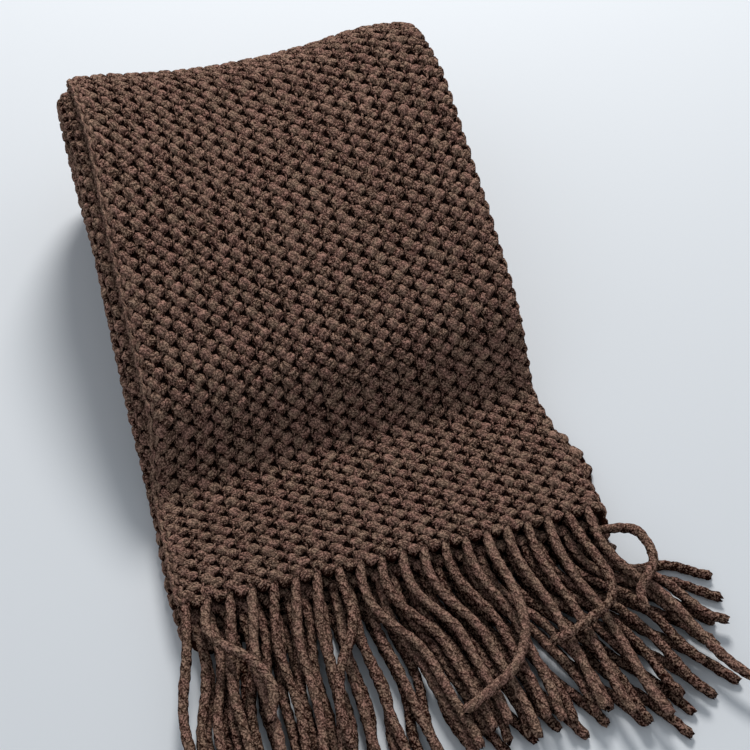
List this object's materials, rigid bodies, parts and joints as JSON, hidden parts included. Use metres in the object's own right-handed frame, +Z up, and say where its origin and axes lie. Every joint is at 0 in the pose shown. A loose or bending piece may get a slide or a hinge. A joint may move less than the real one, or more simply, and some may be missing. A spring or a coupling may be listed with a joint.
{
  "type": "chunky knit throw blanket",
  "caption": "Thick knitted throw blanket, folded lengthwise and laid over its own folded end, with a yarn fringe at both ends.",
  "frame": {"origin": "on the resting surface, at the middle of the folded throw's overall box in plan", "axes": "+Z up, -Y towards the near fringe, +Y towards the far fold, X across the folded layers"},
  "size_m": [0.5338, 0.8856, 0.2128],
  "materials": {
    "knit_yarn": "matt dark brown chenille yarn, chunky braided knit",
    "fringe_yarn": "matt dark brown chenille yarn, loosely twisted"
  },
  "bodies": {
    "root": {"blanket": "knit_yarn", "fringe_top": "fringe_yarn", "fringe_middle": "fringe_yarn", "fringe_bottom": "fringe_yarn", "fringe_inner_top": "fringe_yarn", "fringe_inner_middle": "fringe_yarn", "fringe_inner_bottom": "fringe_yarn"}
  },
  "joints": []
}
